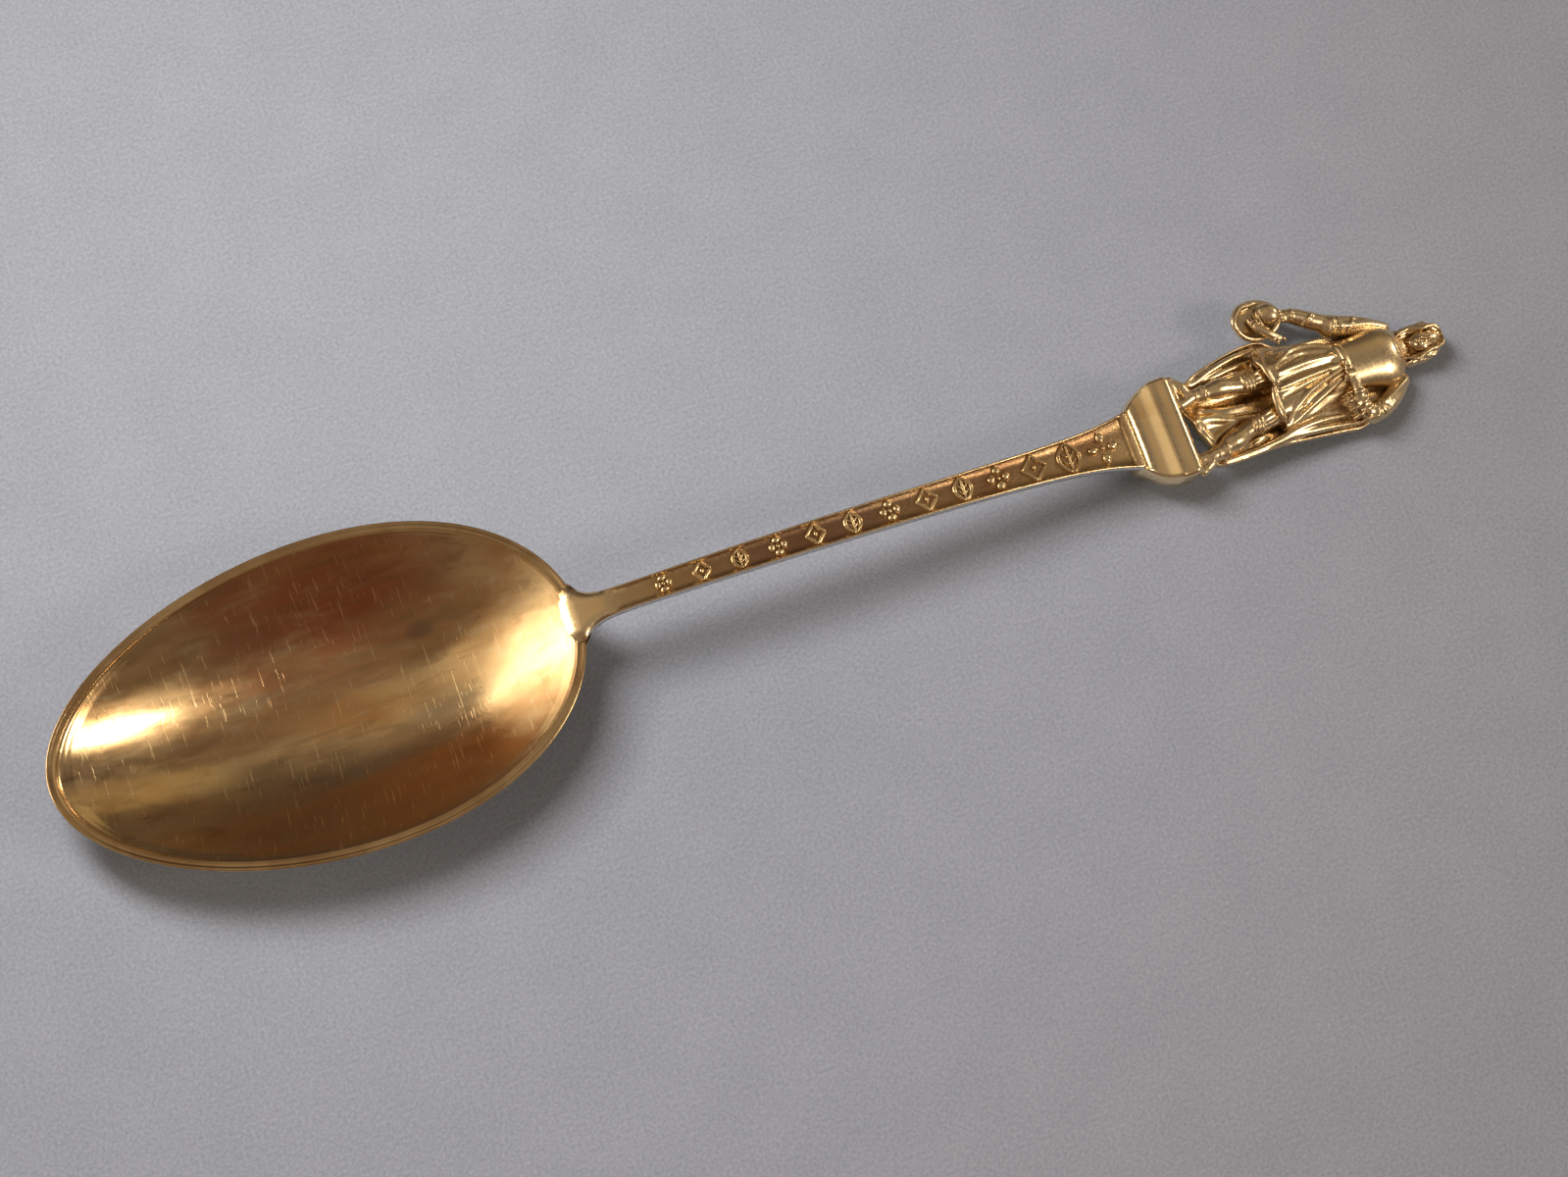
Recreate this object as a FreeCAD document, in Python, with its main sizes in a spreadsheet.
import FreeCAD, Part
import Sketcher

import math
import os

from FreeCAD import Placement, Rotation, Vector

# A figural souvenir spoon in silver: a struck egg-shaped bowl with a gilt inside, a flat tapering
# stem with raised edges and raised ornament, a plinth, and a cast standing figure on the plinth.
# The spoon lies on its bowl and on the back of the figure's head. X runs from the bowl's tip to
# the head, Y is across, Z is up, and the origin is on the table under the middle of the box.

doc = FreeCAD.newDocument("souvenir_spoon")
sheet = doc.addObject("Spreadsheet::Sheet", "sheet")

# ---------------------------------------------------------------- driving dimensions (mm, degrees)
DRIVING = [
    ("total_length", 146.0),
    ("bowl_length", 51.5),
    ("bowl_width", 30.4),
    ("bowl_egg", 0.11),
    ("bowl_deep_share", 0.56),
    ("bowl_curve", 2.15),
    ("rim_height_tip", 9.2),
    ("rim_height_heel", 10.4),
    ("rim_land", 0.9),
    ("bowl_wall", 0.9),
    ("gilding_wall", 0.10),
    ("flat_share", 0.10),
    ("drop_length", 13.0),
    ("drop_width", 5.0),
    ("drop_depth", 0.95),
    ("drop_reach", 5.0),
    ("neck_height", 11.0),
    ("stem_end_height", 7.3),
    ("stem_rise", 2.1),
    ("stem_wall", 1.9),
    ("neck_width", 2.4),
    ("neck_flare", 2.8),
    ("stem_width", 3.5),
    ("stem_flare", 4.6),
    ("edge_width", 0.36),
    ("ground_depth", 0.32),
    ("relief_height", 0.26),
    ("relief_stroke", 0.42),
    ("relief_pitch", 3.85),
    ("relief_count", 13),
    ("solder_radius", 0.8),
    ("plinth_length", 6.0),
    ("plinth_width", 10.6),
    ("plinth_root_width", 6.0),
    ("plinth_depth", 3.2),
    ("roll_radius", 0.85),
    ("cove_radius", 3.6),
    ("figure_height", 31.0),
    ("figure_slope", 6.0),
    ("figure_depth", 4.12),
    ("cape_wall", 1.19),
    ("leg_radius", 0.92),
    ("boot_radius", 0.67),
    ("foot_width", 0.67),
    ("hem_half_width", 4.88),
    ("hem_half_depth", 1.63),
    ("waist_half_width", 2.93),
    ("waist_half_depth", 1.41),
    ("chest_half_width", 3.47),
    ("chest_half_depth", 1.73),
    ("neck_radius", 1.03),
    ("belt_height", 0.65),
    ("belt_wall", 0.24),
    ("arm_radius", 1.03),
    ("wrist_radius", 0.65),
    ("hand_radius", 0.76),
    ("hat_brim_radius", 2.28),
    ("hat_brim_wall", 0.54),
    ("hat_crown_radius", 1.25),
    ("hat_crown_height", 0.98),
    ("head_half_height", 2.06),
    ("head_half_width", 1.46),
    ("head_half_depth", 1.63),
    ("hair_half_height", 2.76),
    ("hair_half_width", 2.33),
]
for row, (alias, value) in enumerate(DRIVING, start=1):
    sheet.set(f"A{row}", alias)
    sheet.set(f"B{row}", repr(value))
    sheet.setAlias(f"B{row}", alias)
doc.recompute()


def cell(alias):
    """One driving dimension, read from the sheet."""
    return float(sheet.get(alias))


def bind(obj, **sizes):
    """Ties an object's sizes to expressions on the sheet."""
    for prop, expression in sizes.items():
        obj.setExpression(prop, expression)
    return obj


TIP_X = -cell("total_length") / 2
HEEL_X = TIP_X + cell("bowl_length")
FIGURE_X = cell("total_length") / 2 - cell("figure_height") * math.cos(
    math.radians(cell("figure_slope"))
)
PLINTH_X = FIGURE_X - cell("plinth_length")
subparts = []


def keep(obj, label):
    """Marks a finished object as one sub-part, whose label names its file."""
    obj.Label = label
    subparts.append(obj)
    return obj


def shape_feature(name, shape):
    """A plain feature that holds a shape no primitive makes."""
    feature = doc.addObject("Part::Feature", name)
    feature.Shape = shape
    return feature


def boolean(kind, name, base, tool):
    """A cut, fuse or common of two objects."""
    result = doc.addObject("Part::" + kind, name)
    result.Base = base
    result.Tool = tool
    return result


def seat(name, base, *neighbours):
    """A piece with each neighbour that it overlaps cut out of it."""
    for k, neighbour in enumerate(neighbours):
        doc.recompute()
        if base.Shape.common(neighbour.Shape).Volume > 1e-4:
            base = boolean("Cut", f"{name}_{k}", base, neighbour)
    doc.recompute()
    return base


# ---------------------------------------------------------------- bowl
# The rim's outline is an egg: an ellipse whose width grows towards the heel. Every level below it
# is that outline drawn in towards the deepest point, and lower by a power of how far it is drawn in.
LEVELS = 8
OUTLINE_POINTS = 40


def bowl_level(inset, floor, share):
    """The closed wire round the bowl at one share of the way from the deepest point to the rim."""
    half_length = cell("bowl_length") / 2 - inset
    half_width = cell("bowl_width") / 2 - inset
    middle_x = TIP_X + cell("bowl_length") / 2
    deep_x = TIP_X + cell("bowl_length") * cell("bowl_deep_share")
    tilt = (cell("rim_height_heel") - cell("rim_height_tip")) / cell("bowl_length")
    flat = cell("flat_share")
    points = []
    for k in range(OUTLINE_POINTS):
        turn = 2 * math.pi * k / OUTLINE_POINTS
        rim_x = middle_x + half_length * math.cos(turn)
        rim_y = half_width * math.sin(turn) * (1 + cell("bowl_egg") * math.cos(turn))
        rim_z = cell("rim_height_tip") + tilt * (rim_x - TIP_X)
        rise = (share ** cell("bowl_curve") - flat ** cell("bowl_curve")) / (
            1 - flat ** cell("bowl_curve")
        )
        points.append(
            Vector(
                deep_x + share * (rim_x - deep_x),
                share * rim_y,
                floor + (rim_z - floor) * rise,
            )
        )
    curve = Part.BSplineCurve()
    curve.interpolate(points, PeriodicFlag=True)
    return Part.Wire(curve.toShape())


def bowl_block(name, inset, floor):
    """The solid that fills the bowl's shape up to the plane of the rim."""
    flat = cell("flat_share")
    sections = []
    for k in range(LEVELS):
        share = flat + (1 - flat) * k / (LEVELS - 1)
        sections.append(shape_feature(f"{name}_level_{k}", bowl_level(inset, floor, share)))
    loft = doc.addObject("Part::Loft", name)
    loft.Sections = sections
    loft.Solid = True
    loft.Ruled = False
    loft.MaxDegree = 5
    return loft


bowl_outside = bowl_block("bowl_outside", 0.0, 0.0)
bowl_inside = bowl_block("bowl_inside", cell("rim_land"), cell("bowl_wall"))
bowl_hollow = bowl_block(
    "bowl_hollow",
    cell("rim_land") + cell("gilding_wall"),
    cell("bowl_wall") + cell("gilding_wall"),
)
keep(boolean("Cut", "bowl_shell", bowl_outside, bowl_inside), "bowl")
keep(boolean("Cut", "gold_wash", bowl_inside, bowl_hollow), "bowl_gilding")

# The drop is the tongue of metal that backs the joint under the heel of the bowl. It lies along the
# slope of the bowl's outside, half sunk in it.
heel_run = cell("bowl_length") * (1 - cell("bowl_deep_share"))
drop_share = 1 - cell("drop_reach") / heel_run
drop_height = cell("rim_height_heel") * drop_share ** cell("bowl_curve")
drop_slope = cell("bowl_curve") * drop_height / (drop_share * heel_run)
drop_blank = bind(
    doc.addObject("Part::Ellipsoid", "drop_blank"),
    Radius1="sheet.drop_depth",
    Radius2="sheet.drop_length / 2",
    Radius3="sheet.drop_width / 2",
)
drop_blank.Placement = Placement(
    Vector(HEEL_X - cell("drop_reach"), 0, drop_height - 0.2),
    Rotation(Vector(0, 1, 0), -math.degrees(math.atan(drop_slope))),
)


# ---------------------------------------------------------------- stem
# The stem is a strip that is bent to a shallow arch. It is the part that two prisms share: its side
# view, a band between two arcs, and its plan, a taper that flares at the neck and at the plinth.
STEM_WIDE = 14.0


def arch_point(x, lift):
    """A point on the arch of the stem's face, lifted by an amount, at one place along it."""
    span = PLINTH_X - HEEL_X
    t = (x - HEEL_X) / span
    chord = cell("neck_height") + t * (cell("stem_end_height") - cell("neck_height"))
    return Vector(x, 0, chord + cell("stem_rise") * 4 * t * (1 - t) + lift)


def arch_band(name, start_x, end_x, low, high):
    """The prism between the face's arch lowered to low and to high, across the whole stem."""
    middle_x = (start_x + end_x) / 2
    lower = Part.Arc(
        arch_point(start_x, low), arch_point(middle_x, low), arch_point(end_x, low)
    ).toShape()
    upper = Part.Arc(
        arch_point(end_x, high), arch_point(middle_x, high), arch_point(start_x, high)
    ).toShape()
    ends = [
        Part.makeLine(arch_point(end_x, low), arch_point(end_x, high)),
        Part.makeLine(arch_point(start_x, high), arch_point(start_x, low)),
    ]
    face = shape_feature(name + "_face", Part.Face(Part.Wire([lower, ends[0], upper, ends[1]])))
    prism = doc.addObject("Part::Extrusion", name)
    prism.Base = face
    prism.DirMode = "Custom"
    prism.Dir = Vector(0, 1, 0)
    prism.LengthFwd = STEM_WIDE
    prism.Symmetric = True
    prism.Solid = True
    return prism


def stem_half_width(x, inset):
    """Half of the stem's width: a taper with a flare at each end."""
    t = (x - HEEL_X) / (PLINTH_X - HEEL_X)
    taper = cell("neck_width") + (cell("stem_width") - cell("neck_width")) * t
    neck = cell("neck_flare") * math.exp(-(x - HEEL_X) / 1.1)
    root = cell("plinth_root_width") - cell("stem_width")
    flare = root * math.exp(-(PLINTH_X - x) / cell("stem_flare"))
    return (taper + neck + flare) / 2 - inset


def stem_plan(name, start_x, end_x, inset):
    """The prism of the stem's plan between two places, drawn in by inset."""
    steps = 14
    side = []
    for k in range(steps + 1):
        x = start_x + (end_x - start_x) * 0.5 * (1 - math.cos(math.pi * k / steps))
        side.append(Vector(x, stem_half_width(x, inset), 0))
    left = Part.BSplineCurve()
    left.interpolate(side)
    right = Part.BSplineCurve()
    right.interpolate([Vector(p.x, -p.y, 0) for p in reversed(side)])
    edges = [
        left.toShape(),
        Part.makeLine(side[-1], Vector(side[-1].x, -side[-1].y, 0)),
        right.toShape(),
        Part.makeLine(Vector(side[0].x, -side[0].y, 0), side[0]),
    ]
    face = shape_feature(name + "_face", Part.Face(Part.Wire(edges)))
    prism = doc.addObject("Part::Extrusion", name)
    prism.Base = face
    prism.DirMode = "Custom"
    prism.Dir = Vector(0, 0, 1)
    prism.LengthFwd = 20.0
    prism.Solid = True
    return prism


stem_blank = boolean(
    "Common",
    "stem_blank",
    arch_band("stem_side", HEEL_X - 0.8, PLINTH_X, -cell("stem_wall"), 0.0),
    stem_plan("stem_outline", HEEL_X - 0.8, PLINTH_X, 0.0),
)
ground = boolean(
    "Common",
    "ground",
    arch_band("ground_side", HEEL_X + 1.4, PLINTH_X - 0.5, -cell("ground_depth"), 1.0),
    stem_plan("ground_outline", HEEL_X + 1.4, PLINTH_X - 0.5, cell("edge_width")),
)
stem_sunk = boolean("Cut", "stem_sunk", stem_blank, ground)
keep(seat("stem_seated", stem_sunk, bowl_outside), "stem")
keep(seat("drop_seated", drop_blank, bowl_outside, stem_blank), "heel_drop")

# The solder at the neck fills the corner between the stem's back and the bowl.
solder_bar = bind(
    doc.addObject("Part::Cylinder", "solder_bar"),
    Radius="sheet.solder_radius",
    Height="sheet.neck_width",
)
solder_bar.Placement = Placement(
    Vector(HEEL_X + 0.1, cell("neck_width") / 2, cell("neck_height") - cell("stem_wall") - 0.1),
    Rotation(Vector(1, 0, 0), 90),
)
keep(seat("solder_seated", solder_bar, bowl_outside, drop_blank, stem_blank), "neck_solder")

# ---------------------------------------------------------------- ornament on the stem
# Thirteen raised motifs stand on the sunk ground, by turns a four-petalled flower, a leaf and a
# lozenge. Each is drawn as an upright prism and keeps what lies in a thin band above the ground.
relief_band = arch_band(
    "relief_band",
    HEEL_X + 1.4,
    PLINTH_X - 0.5,
    -cell("ground_depth"),
    cell("relief_height") - cell("ground_depth"),
)


def ring_of(outer, inner):
    """What is left of one upright prism when a smaller one is taken out."""
    return outer.cut(inner)


def leaf_prism(x, half):
    """An open leaf across the stem: the lens of two discs, hollow, with a midrib."""

    def lens(shrink):
        bulge = half * 1.7 - shrink
        offset = half * 1.15
        discs = [
            Part.makeCylinder(bulge, 20, Vector(x + sign * offset, 0, 0)) for sign in (-1, 1)
        ]
        return discs[0].common(discs[1])

    stroke = cell("relief_stroke")
    rib = Part.makeBox(stroke * 0.8, half * 1.3, 20, Vector(x - stroke * 0.4, -half * 0.65, 0))
    return [ring_of(lens(0), lens(stroke)).fuse(rib)]


def flower_prism(x, half):
    """Four round petals about a bead."""
    reach = half * 0.6
    petal = half * 0.34
    places = [(reach, 0), (-reach, 0), (0, reach), (0, -reach), (0, 0)]
    return [Part.makeCylinder(petal, 20, Vector(x + dx, dy, 0)) for dx, dy in places]


def lozenge_prism(x, half):
    """An open lozenge with a bead in it."""

    def diamond(reach):
        corners = [(reach, 0), (0, reach), (-reach, 0), (0, -reach), (reach, 0)]
        wire = Part.makePolygon([Vector(x + dx, dy, 0) for dx, dy in corners])
        return Part.Face(wire).extrude(Vector(0, 0, 20))

    stroke = cell("relief_stroke")
    return [
        ring_of(diamond(half), diamond(half - 1.3 * stroke)),
        Part.makeCylinder(stroke * 0.5, 20, Vector(x, 0, 0)),
    ]


doc.recompute()
motifs = []
for k in range(int(cell("relief_count"))):
    centre_x = PLINTH_X - 3.2 - k * cell("relief_pitch")
    half = stem_half_width(centre_x, cell("edge_width") + 0.12)
    draw = (flower_prism, leaf_prism, lozenge_prism)[k % 3]
    for prism in draw(centre_x, half):
        motifs.extend(prism.common(relief_band.Shape).Solids)
keep(shape_feature("ornament", Part.makeCompound(motifs)), "stem_relief")

# ---------------------------------------------------------------- figure's own frame
# The figure stands up along its local X, with its left and right along Y and its front along Z. Its
# frame leans down from the plinth until the back of the head meets the table.
BACK = -cell("figure_depth") / 2
lean = Rotation(Vector(0, 1, 0), cell("figure_slope"))
crown = lean.multVec(Vector(cell("figure_height"), 0, BACK))
figure_frame = Placement(Vector(FIGURE_X, 0, -crown.z), lean)
LOCAL_X = Rotation(Vector(0, 1, 0), 90)


def in_figure(up, side, front, turn=None):
    """A placement given in the figure's frame."""
    return figure_frame.multiply(Placement(Vector(up, side, front), turn or Rotation()))


def along(start, end):
    """The turn that takes local Z to the line from start to end."""
    return Rotation(Vector(0, 0, 1), Vector(*end).sub(Vector(*start)))


def limb(name, start, end, start_radius, end_radius):
    """A tapered round limb between two points of the figure's frame, its radii tied to the sheet."""
    cone = bind(doc.addObject("Part::Cone", name), Radius1=start_radius, Radius2=end_radius)
    cone.Height = Vector(*end).sub(Vector(*start)).Length
    cone.Placement = in_figure(*start, along(start, end))
    return cone


def knob(name, centre, turn=None, **radii):
    """An ellipsoid in the figure's frame, its radii tied to the sheet."""
    ball = bind(doc.addObject("Part::Ellipsoid", name), **radii)
    ball.Placement = in_figure(*centre, turn)
    return ball


def join(name, pieces):
    """Several objects fused into one."""
    fused = doc.addObject("Part::MultiFuse", name)
    fused.Shapes = pieces
    return fused


# ---------------------------------------------------------------- plinth
# The plinth is a block whose face is hollowed by a cove and ends in a roll under the figure's feet.
# Its side view is sketched and padded, and its plan widens from the stem to the roll.
plinth_body = doc.addObject("PartDesign::Body", "plinth_body")
plinth_sketch = plinth_body.newObject("Sketcher::SketchObject", "plinth_sketch")
plane = [f for f in plinth_body.Origin.OriginFeatures if f.Role == "XZ_Plane"][0]
plinth_sketch.AttachmentSupport = [(plane, "")]
plinth_sketch.MapMode = "FlatFace"
FRONT = cell("plinth_depth") / 2
LENGTH = cell("plinth_length")
ROLL = cell("roll_radius")
corners = [
    Vector(-LENGTH, -FRONT, 0),
    Vector(0, -FRONT, 0),
    Vector(0, FRONT, 0),
    Vector(-2 * ROLL, FRONT, 0),
    Vector(-LENGTH, FRONT, 0),
]
cove_sag = cell("cove_radius") - math.sqrt(
    cell("cove_radius") ** 2 - ((LENGTH - 2 * ROLL) / 2) ** 2
)
cove_low = Vector((corners[3].x + corners[4].x) / 2, FRONT - cove_sag, 0)
plinth_sketch.addGeometry(Part.LineSegment(corners[0], corners[1]), False)
plinth_sketch.addGeometry(Part.LineSegment(corners[1], corners[2]), False)
plinth_sketch.addGeometry(
    Part.Arc(corners[2], Vector(-ROLL, FRONT + ROLL, 0), corners[3]), False
)
plinth_sketch.addGeometry(Part.Arc(corners[3], cove_low, corners[4]), False)
plinth_sketch.addGeometry(Part.LineSegment(corners[4], corners[0]), False)
doc.recompute()


def tie(sketch, kind, *terms, to=None, name=None):
    """Adds one constraint to a sketch, and ties a dimension to the sheet."""
    index = sketch.addConstraint(Sketcher.Constraint(kind, *terms))
    if name:
        sketch.renameConstraint(index, name)
        sketch.setExpression("Constraints." + name, to)


def end_near(sketch, index, point):
    """Which end of a sketch edge lies at a point: 1 for its start, 2 for its end."""
    start = sketch.getPoint(index, 1)
    return 1 if start.sub(point).Length < sketch.getPoint(index, 2).sub(point).Length else 2


joints = [(0, 1, 1), (1, 2, 2), (2, 3, 3), (3, 4, 4), (4, 0, 0)]
for first, second, corner in joints:
    tie(
        plinth_sketch,
        "Coincident",
        first,
        end_near(plinth_sketch, first, corners[corner]),
        second,
        end_near(plinth_sketch, second, corners[corner]),
    )
tie(plinth_sketch, "Horizontal", 0)
tie(plinth_sketch, "Vertical", 1)
tie(plinth_sketch, "Vertical", 4)
end_of_base = end_near(plinth_sketch, 0, corners[1])
tie(plinth_sketch, "PointOnObject", 0, end_of_base, -2)
tie(
    plinth_sketch,
    "DistanceY",
    0,
    end_of_base,
    -1,
    1,
    FRONT,
    to="sheet.plinth_depth / 2",
    name="back",
)
tie(
    plinth_sketch,
    "DistanceX",
    0,
    end_near(plinth_sketch, 0, corners[0]),
    0,
    end_of_base,
    LENGTH,
    to="sheet.plinth_length",
    name="length",
)
pad = plinth_body.newObject("PartDesign::Pad", "plinth_pad")
pad.Profile = plinth_sketch
pad.Midplane = True
pad.setExpression("Length", "sheet.plinth_width")
plinth_body.Tip = pad
plinth_body.Placement = in_figure(0, 0, BACK + FRONT)

plan_half = [
    Vector(PLINTH_X - 2.0, cell("plinth_root_width") / 2 - 0.4, -5),
    Vector(PLINTH_X, cell("plinth_root_width") / 2, -5),
    Vector(PLINTH_X + 0.42 * LENGTH, cell("plinth_width") / 2 - 0.45, -5),
    Vector(PLINTH_X + 0.72 * LENGTH, cell("plinth_width") / 2, -5),
    Vector(FIGURE_X + 1.0, cell("plinth_width") / 2 - 0.1, -5),
]
plan_left = Part.BSplineCurve()
plan_left.interpolate(plan_half)
plan_right = Part.BSplineCurve()
plan_right.interpolate([Vector(p.x, -p.y, p.z) for p in reversed(plan_half)])
plinth_face = Part.Face(
    Part.Wire(
        [
            plan_left.toShape(),
            Part.makeLine(plan_half[-1], Vector(plan_half[-1].x, -plan_half[-1].y, -5)),
            plan_right.toShape(),
            Part.makeLine(Vector(plan_half[0].x, -plan_half[0].y, -5), plan_half[0]),
        ]
    )
)
plinth_plan = shape_feature("plinth_plan", plinth_face.extrude(Vector(0, 0, 25)))
plinth_blank = boolean("Common", "plinth_blank", plinth_body, plinth_plan)
keep(seat("plinth_seated", plinth_blank, stem_blank), "plinth")

# ---------------------------------------------------------------- cape
# The cape hangs behind the figure from the shoulders, swings out past both legs, and its hem slants.
# It leaves the gap between the hat arm and the coat open, and the gap inside the bent elbow.
cape_edge = [
    (25.4, 4.2),
    (21.7, 3.9),
    (17.9, 3.8),
    (14.7, 4.6),
    (12.1, 6.1),
    (9.2, 6.5),
    (5.6, 6.0),
    (2.6, 4.6),
    (1.3, 1.7),
    (2.6, -2.4),
    (3.7, -3.8),
    (6.5, -4.3),
    (10.8, -4.8),
    (15.2, -5.0),
    (18.4, -4.8),
    (19.5, -2.8),
    (20.8, -1.3),
    (23.2, -1.5),
    (25.4, -1.8),
]
cape_body = doc.addObject("PartDesign::Body", "cape_body")
cape_sketch = cape_body.newObject("Sketcher::SketchObject", "cape_sketch")
plane = [f for f in cape_body.Origin.OriginFeatures if f.Role == "XY_Plane"][0]
cape_sketch.AttachmentSupport = [(plane, "")]
cape_sketch.MapMode = "FlatFace"
for k, start in enumerate(cape_edge):
    end = cape_edge[(k + 1) % len(cape_edge)]
    cape_sketch.addGeometry(Part.LineSegment(Vector(*start, 0), Vector(*end, 0)), False)
for k in range(len(cape_edge)):
    tie(cape_sketch, "Coincident", k, 2, (k + 1) % len(cape_edge), 1)
cape_pad = cape_body.newObject("PartDesign::Pad", "cape_pad")
cape_pad.Profile = cape_sketch
cape_pad.setExpression("Length", "sheet.cape_wall")
cape_body.Tip = cape_pad
cape_body.Placement = in_figure(0, 0, BACK)
keep(cape_body, "figure_cape")

# ---------------------------------------------------------------- coat and belt
# The coat is lofted through ellipses: a wide hem above the knees, a waist, a chest and a neck.
WAIST_WIDE, WAIST_DEEP = cell("waist_half_width"), cell("waist_half_depth")
CHEST_WIDE, CHEST_DEEP = cell("chest_half_width"), cell("chest_half_depth")
COAT = [
    ("hem", 10.4, 0.5, cell("hem_half_width"), cell("hem_half_depth")),
    ("skirt", 14.1, 0.9, WAIST_WIDE + 1.3, WAIST_DEEP + 0.15),
    ("hips", 16.9, 1.1, WAIST_WIDE + 0.4, WAIST_DEEP + 0.05),
    ("waist", 19.3, 1.3, WAIST_WIDE, WAIST_DEEP),
    ("ribs", 21.5, 1.3, CHEST_WIDE * 0.95, CHEST_DEEP * 0.95),
    ("chest", 23.4, 1.3, CHEST_WIDE, CHEST_DEEP),
    ("shoulders", 25.1, 1.3, CHEST_WIDE * 0.8, CHEST_DEEP * 0.75),
    ("throat", 26.2, 1.3, cell("neck_radius"), cell("neck_radius")),
]


def ring_section(name, up, side, wide, deep):
    """A closed oval across the figure, its long way from side to side."""
    points = []
    for k in range(20):
        turn = 2 * math.pi * k / 20
        local = Vector(up, side + wide * math.sin(turn), 0.15 + deep * math.cos(turn))
        points.append(figure_frame.multVec(local))
    curve = Part.BSplineCurve()
    curve.interpolate(points, PeriodicFlag=True)
    return shape_feature(name, Part.Wire(curve.toShape()))


coat_loft = doc.addObject("Part::Loft", "coat_loft")
coat_loft.Sections = [ring_section("coat_" + row[0], *row[1:]) for row in COAT]
coat_loft.Solid = True
coat_loft.MaxDegree = 3
keep(seat("coat_seated", coat_loft, cape_body), "figure_coat")

BELT = cell("belt_wall")
belt_section = ring_section(
    "belt_section", 19.3 - cell("belt_height") / 2, 1.3, WAIST_WIDE + BELT, WAIST_DEEP + BELT
)
belt_blank = doc.addObject("Part::Extrusion", "belt_blank")
belt_blank.Base = belt_section
belt_blank.DirMode = "Custom"
belt_blank.Dir = lean.multVec(Vector(1, 0, 0))
belt_blank.setExpression("LengthFwd", "sheet.belt_height")
belt_blank.Solid = True
keep(seat("belt_seated", belt_blank, coat_loft, cape_body), "figure_belt")

# ---------------------------------------------------------------- legs
def limb_loft(name, stations):
    """A solid through round sections, each square to the line of the limb."""
    centres = [Vector(*centre) for centre, _ in stations]
    sections = []
    for k, (_, radius) in enumerate(stations):
        line = centres[min(k + 1, len(centres) - 1)].sub(centres[max(k - 1, 0)]).normalize()
        across = line.cross(Vector(0, 0, 1)).normalize()
        upward = across.cross(line)
        points = []
        for step in range(16):
            turn = 2 * math.pi * step / 16
            offset = across * (radius * math.cos(turn)) + upward * (radius * math.sin(turn))
            points.append(figure_frame.multVec(centres[k].add(offset)))
        curve = Part.BSplineCurve()
        curve.interpolate(points, PeriodicFlag=True)
        sections.append(shape_feature(f"{name}_section_{k}", Part.Wire(curve.toShape())))
    loft = doc.addObject("Part::Loft", name)
    loft.Sections = sections
    loft.Solid = True
    loft.MaxDegree = 3
    return loft


# Each leg is one loft from the thigh through the boot's cuff and ankle to a toe that points outwards.
LEG, BOOT, FOOT = cell("leg_radius"), cell("boot_radius"), cell("foot_width")
LEGS = {
    "figure_right_leg": [
        ((13.4, 2.1, 0.1), LEG * 1.1),
        ((8.9, 2.4, 0.1), LEG),
        ((8.0, 2.5, 0.1), LEG * 1.15),
        ((4.5, 2.8, 0.1), LEG * 0.9),
        ((1.9, 3.0, 0.1), BOOT),
        ((0.9, 3.3, 0.1), BOOT),
        ((0.5, 4.1, 0.15), FOOT * 0.95),
        ((0.45, 5.1, 0.2), FOOT * 0.75),
        ((0.4, 5.7, 0.2), FOOT * 0.4),
    ],
    "figure_left_leg": [
        ((13.4, -1.1, 0.1), LEG * 1.1),
        ((8.9, -2.0, 0.1), LEG),
        ((8.0, -2.2, 0.1), LEG * 1.15),
        ((4.5, -2.8, 0.1), LEG * 0.9),
        ((1.9, -3.2, 0.1), BOOT),
        ((0.9, -3.5, 0.1), BOOT),
        ((0.5, -4.2, 0.15), FOOT * 0.95),
        ((0.45, -5.0, 0.2), FOOT * 0.75),
        ((0.4, -5.5, 0.2), FOOT * 0.4),
    ],
}
for label, stations in LEGS.items():
    leg = limb_loft(label + "_loft", stations)
    keep(seat(label + "_seated", leg, coat_loft, cape_body, plinth_blank), label)

# ---------------------------------------------------------------- arms
# The right arm hangs out from the shoulder with the hat, and the left is bent with a hand at the hip.
# Each arm is one loft through round sections: shoulder, sleeve, elbow, sleeve, wrist, hand and knuckles.
ARM, WRIST, HAND = cell("arm_radius"), cell("wrist_radius"), cell("hand_radius")
ARMS = {
    "figure_right_arm": [
        ((25.0, 3.2, 0.4), ARM * 0.9),
        ((23.6, 4.5, 0.4), ARM),
        ((20.2, 5.8, 0.4), ARM),
        ((17.6, 6.8, 0.4), ARM * 0.85),
        ((16.3, 7.3, 0.4), WRIST),
        ((15.4, 7.6, 0.35), HAND),
        ((14.3, 7.8, 0.3), WRIST * 0.7),
    ],
    "figure_left_arm": [
        ((24.8, -1.2, 0.4), ARM * 0.9),
        ((23.3, -2.7, 0.4), ARM),
        ((20.9, -4.3, 0.4), ARM * 0.95),
        ((19.8, -4.6, 0.5), ARM * 0.95),
        ((19.1, -3.8, 0.8), ARM * 0.85),
        ((18.9, -2.6, 1.2), WRIST),
        ((18.9, -1.3, 1.5), HAND),
        ((18.8, -0.5, 1.6), WRIST * 0.7),
    ],
}


arm_lofts = {label: limb_loft(label + "_loft", stations) for label, stations in ARMS.items()}
for label, arm in arm_lofts.items():
    keep(seat(label + "_seated", arm, coat_loft, belt_blank, cape_body), label)

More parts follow.
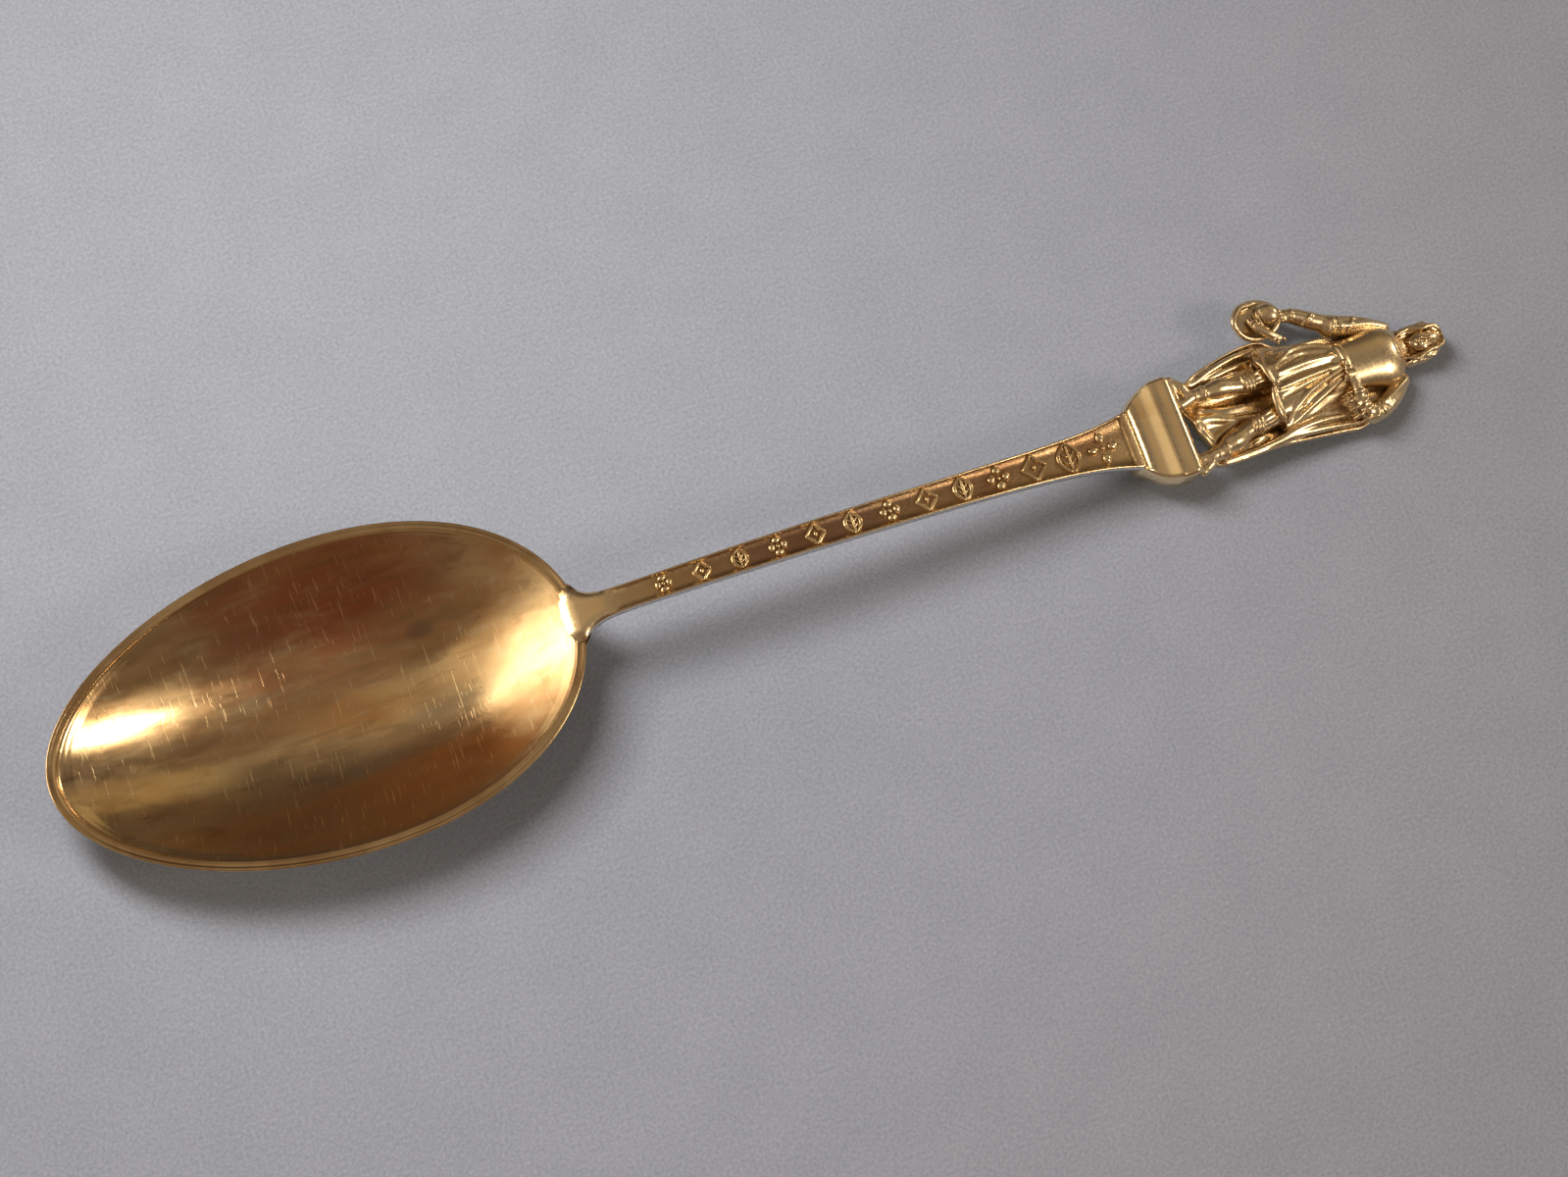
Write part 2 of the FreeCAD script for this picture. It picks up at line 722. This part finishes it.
# ---------------------------------------------------------------- hat
# The hat hangs from the right hand with its crown to the front and its wide brim behind.
hat_face = Rotation(Vector(1, 0, 0), -12)
brim = bind(
    doc.addObject("Part::Cylinder", "hat_brim"),
    Radius="sheet.hat_brim_radius",
    Height="sheet.hat_brim_wall",
)
brim.Placement = in_figure(12.2, 8.3, -0.6, hat_face)
hat_crown = bind(
    doc.addObject("Part::Cylinder", "hat_crown"),
    Radius="sheet.hat_crown_radius",
    Height="sheet.hat_crown_height",
)
hat_crown.Placement = in_figure(12.6, 8.7, -0.2, hat_face)
hat_whole = join("hat_whole", [brim, hat_crown])
keep(seat("hat_seated", hat_whole, arm_lofts["figure_right_arm"], cape_body), "figure_hat")

# ---------------------------------------------------------------- head and hair
# The head looks ahead over the throat. The hair falls to the shoulders round the back and sides.
HEAD_UP = cell("figure_height") - 2.3
head = knob(
    "head_ball",
    (HEAD_UP, 1.3, 0.4),
    Radius1="sheet.head_half_depth",
    Radius2="sheet.head_half_height",
    Radius3="sheet.head_half_width",
)
throat = limb("throat_stub", (26.0, 1.3, 0.15), (HEAD_UP, 1.3, 0.15), "sheet.neck_radius",
              "sheet.neck_radius")
head_whole = join("head_whole", [head, throat])
keep(seat("head_seated", head_whole, coat_loft), "figure_head")
hair_ball = knob(
    "hair_ball",
    (HEAD_UP - 0.4, 1.3, -0.4),
    Radius1="sheet.figure_depth / 2 - 0.4",
    Radius2="sheet.hair_half_height",
    Radius3="sheet.hair_half_width",
)
keep(seat("hair_seated", hair_ball, head_whole, coat_loft, cape_body), "figure_hair")

# ---------------------------------------------------------------- check and write
doc.recompute()
for obj in doc.Objects:
    if "Invalid" in obj.State or "Error" in obj.State:
        raise RuntimeError(f"{obj.Name} did not build: {obj.State}")
os.makedirs("parts", exist_ok=True)
for obj in subparts:
    shape = obj.Shape
    if shape.isNull() or not shape.isValid() or not shape.Solids:
        raise RuntimeError(f"{obj.Label} has no valid solid")
    shape.exportStep(f"parts/{obj.Label}.step")
    box = shape.BoundBox
    print(
        f"{obj.Label}: {len(shape.Solids)} solids, {shape.Volume:.1f} mm3, "
        f"X {box.XMin:.1f} {box.XMax:.1f}  Y {box.YMin:.1f} {box.YMax:.1f}  Z {box.ZMin:.2f} {box.ZMax:.2f}"
    )
